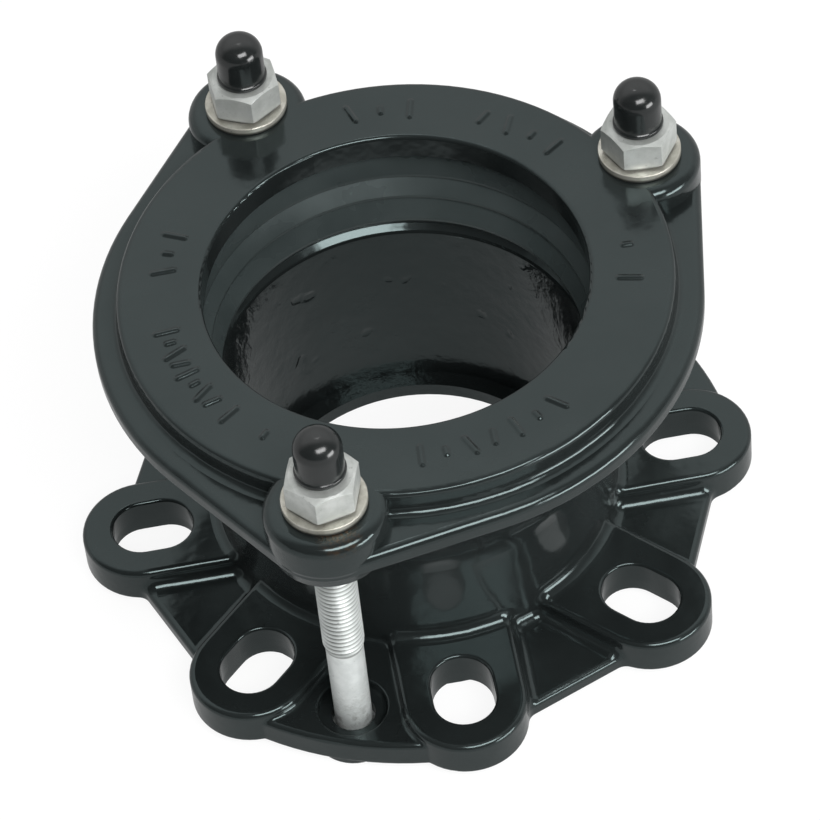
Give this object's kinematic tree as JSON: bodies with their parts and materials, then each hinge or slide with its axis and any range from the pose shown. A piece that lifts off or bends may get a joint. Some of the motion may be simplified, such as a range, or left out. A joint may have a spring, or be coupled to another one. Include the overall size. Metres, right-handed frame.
{
  "type": "flange adaptor",
  "caption": "Cast flange adaptor: lobed flange with radial slots and a sleeve, a clamping ring drawn down by capped bolts, and a ridged wedge gasket for a plain pipe end.",
  "frame": {"origin": "centre of the joint face, on the pipe axis", "axes": "+Z along the pipe axis, from the joint face towards the clamping ring; +X and +Y each run through a pair of opposite slots"},
  "size_m": [0.2022, 0.2022, 0.133],
  "materials": {
    "coated_iron": "smooth semi-gloss black coating over cast iron",
    "gasket_rubber": "satin black moulded rubber",
    "coated_steel_bolt": "matt light grey zinc flake",
    "coated_steel_nut": "matt light grey zinc flake",
    "coated_steel_washer": "matt grey zinc flake, slightly yellowed",
    "cap_plastic": "glossy black soft plastic"
  },
  "bodies": {
    "flange": {"flange_body": "coated_iron", "gasket": "gasket_rubber", "bolt_1": "coated_steel_bolt", "bolt_2": "coated_steel_bolt", "bolt_3": "coated_steel_bolt", "cap_1": "cap_plastic", "cap_2": "cap_plastic", "cap_3": "cap_plastic"},
    "clamp_ring": {"end_ring": "coated_iron", "washer_1": "coated_steel_washer", "washer_2": "coated_steel_washer", "washer_3": "coated_steel_washer"},
    "nut_body_1": {"nut_1": "coated_steel_nut"},
    "nut_body_2": {"nut_2": "coated_steel_nut"},
    "nut_body_3": {"nut_3": "coated_steel_nut"}
  },
  "joints": [
    {"name": "ring_travel", "type": "slide", "parent": "flange", "child": "clamp_ring", "axis": [0, 0, 1], "range_m": [-0.01, 0], "deforming": ["gasket"]},
    {"name": "nut_turn_1", "type": "hinge", "parent": "clamp_ring", "child": "nut_body_1", "pos_m": [-0.03184, -0.07687, 0.1119], "axis": [0, 0, 1], "range_deg": [-2058.1, 0]},
    {"name": "nut_turn_2", "type": "hinge", "parent": "clamp_ring", "child": "nut_body_2", "pos_m": [-0.03184, 0.07687, 0.1119], "axis": [0, 0, 1], "range_deg": [-2058.1, 0]},
    {"name": "nut_turn_3", "type": "hinge", "parent": "clamp_ring", "child": "nut_body_3", "pos_m": [0.07687, 0.03184, 0.1119], "axis": [0, 0, 1], "range_deg": [-2058.1, 0]}
  ],
  "couplings": [
    {"joint": "nut_turn_1", "follows": "ring_travel", "rad_per_m": 3590.4},
    {"joint": "nut_turn_2", "follows": "ring_travel", "rad_per_m": 3590.4},
    {"joint": "nut_turn_3", "follows": "ring_travel", "rad_per_m": 3590.4}
  ]
}
